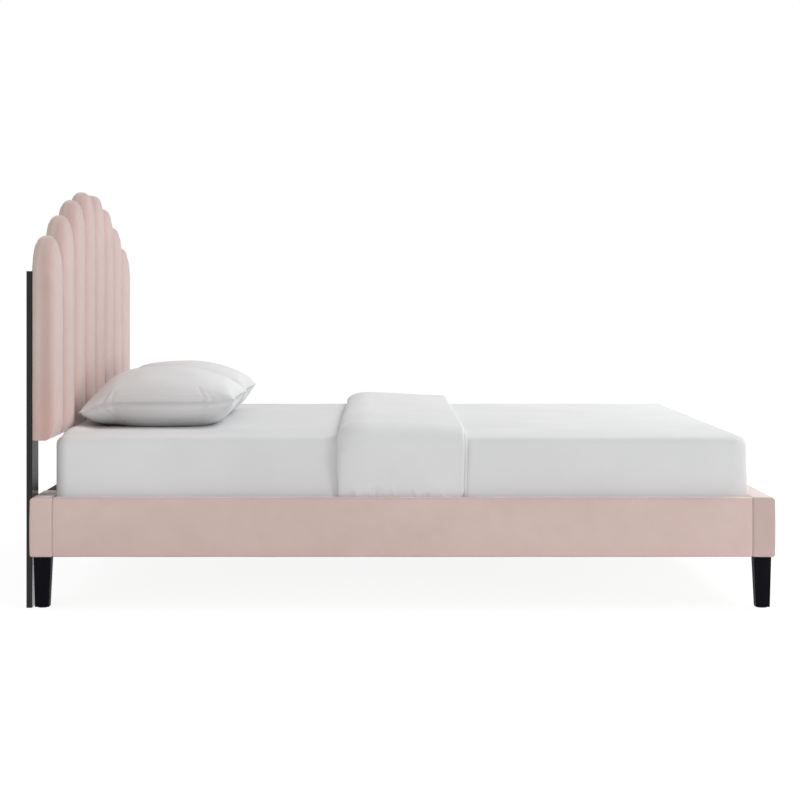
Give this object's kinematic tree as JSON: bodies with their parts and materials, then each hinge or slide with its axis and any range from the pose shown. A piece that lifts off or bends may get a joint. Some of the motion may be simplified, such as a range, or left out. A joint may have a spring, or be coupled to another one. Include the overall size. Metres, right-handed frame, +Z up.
{
  "type": "upholstered headboard bed",
  "caption": "Platform bed with a scalloped, channel-tufted velvet headboard on floor struts, padded low rails, tapered legs, mattress, pillows and a folded cover.",
  "frame": {"origin": "on the floor, under the middle of the bed's bounding box", "axes": "+X from the head to the foot, +Y across the bed to the sleeper's left, +Z up"},
  "size_m": [2.1818, 2.02, 1.252],
  "materials": {
    "velvet": "matte",
    "strut_black": "satin",
    "leg_black": "satin",
    "slat_wood": "matte",
    "frame_wood": "matte",
    "dust_cloth": "matte",
    "zinc_steel": "satin",
    "black_steel": "satin",
    "webbing": "matte",
    "glide_plastic": "matte",
    "ticking": "matte",
    "white_cotton": "matte"
  },
  "bodies": {
    "bed_frame": {"headboard_channel_1": "velvet", "headboard_channel_2": "velvet", "headboard_channel_3": "velvet", "headboard_channel_4": "velvet", "headboard_channel_5": "velvet", "headboard_channel_6": "velvet", "headboard_channel_7": "velvet", "headboard_channel_8": "velvet", "head_rail_velvet": "velvet", "foot_rail_velvet": "velvet", "side_rail_velvet_right": "velvet", "side_rail_velvet_left": "velvet", "headboard_strut_right": "strut_black", "headboard_strut_left": "strut_black", "leg_head_right": "leg_black", "leg_head_left": "leg_black", "leg_foot_right": "leg_black", "leg_foot_left": "leg_black", "slat_01": "slat_wood", "slat_02": "slat_wood", "slat_03": "slat_wood", "slat_04": "slat_wood", "slat_05": "slat_wood", "slat_06": "slat_wood", "slat_07": "slat_wood", "slat_08": "slat_wood", "slat_09": "slat_wood", "slat_10": "slat_wood", "slat_11": "slat_wood", "slat_12": "slat_wood", "slat_13": "slat_wood", "headboard_panel": "frame_wood", "head_rail_core": "frame_wood", "foot_rail_core": "frame_wood", "side_rail_core_right": "frame_wood", "side_rail_core_left": "frame_wood", "side_ledger_right": "frame_wood", "side_ledger_left": "frame_wood", "headboard_back_cover": "dust_cloth", "head_rail_dust_cover": "dust_cloth", "headboard_bolts": "zinc_steel", "strut_rail_bolts": "zinc_steel", "strut_washers": "zinc_steel", "headboard_tee_nuts": "zinc_steel", "rail_tee_nuts": "zinc_steel", "corner_bolts": "zinc_steel", "leg_hanger_bolts": "zinc_steel", "leg_inserts": "zinc_steel", "corner_brackets": "black_steel", "beam_hangers": "black_steel", "centre_beam": "black_steel", "slat_straps": "webbing", "leg_glides": "glide_plastic", "mattress": "ticking", "fitted_sheet": "white_cotton"},
    "pillow_right": {"pillow_right": "white_cotton"},
    "pillow_left": {"pillow_left": "white_cotton"},
    "folded_cover": {"folded_cover": "white_cotton"}
  },
  "joints": [
    {"name": "pillow_right_lift", "type": "slide", "parent": "bed_frame", "child": "pillow_right", "axis": [0, 0, 1], "range_m": [0, 0.35]},
    {"name": "pillow_left_lift", "type": "slide", "parent": "bed_frame", "child": "pillow_left", "axis": [0, 0, 1], "range_m": [0, 0.35]},
    {"name": "folded_cover_lift", "type": "slide", "parent": "bed_frame", "child": "folded_cover", "axis": [0, 0, 1], "range_m": [0, 0.4]}
  ]
}
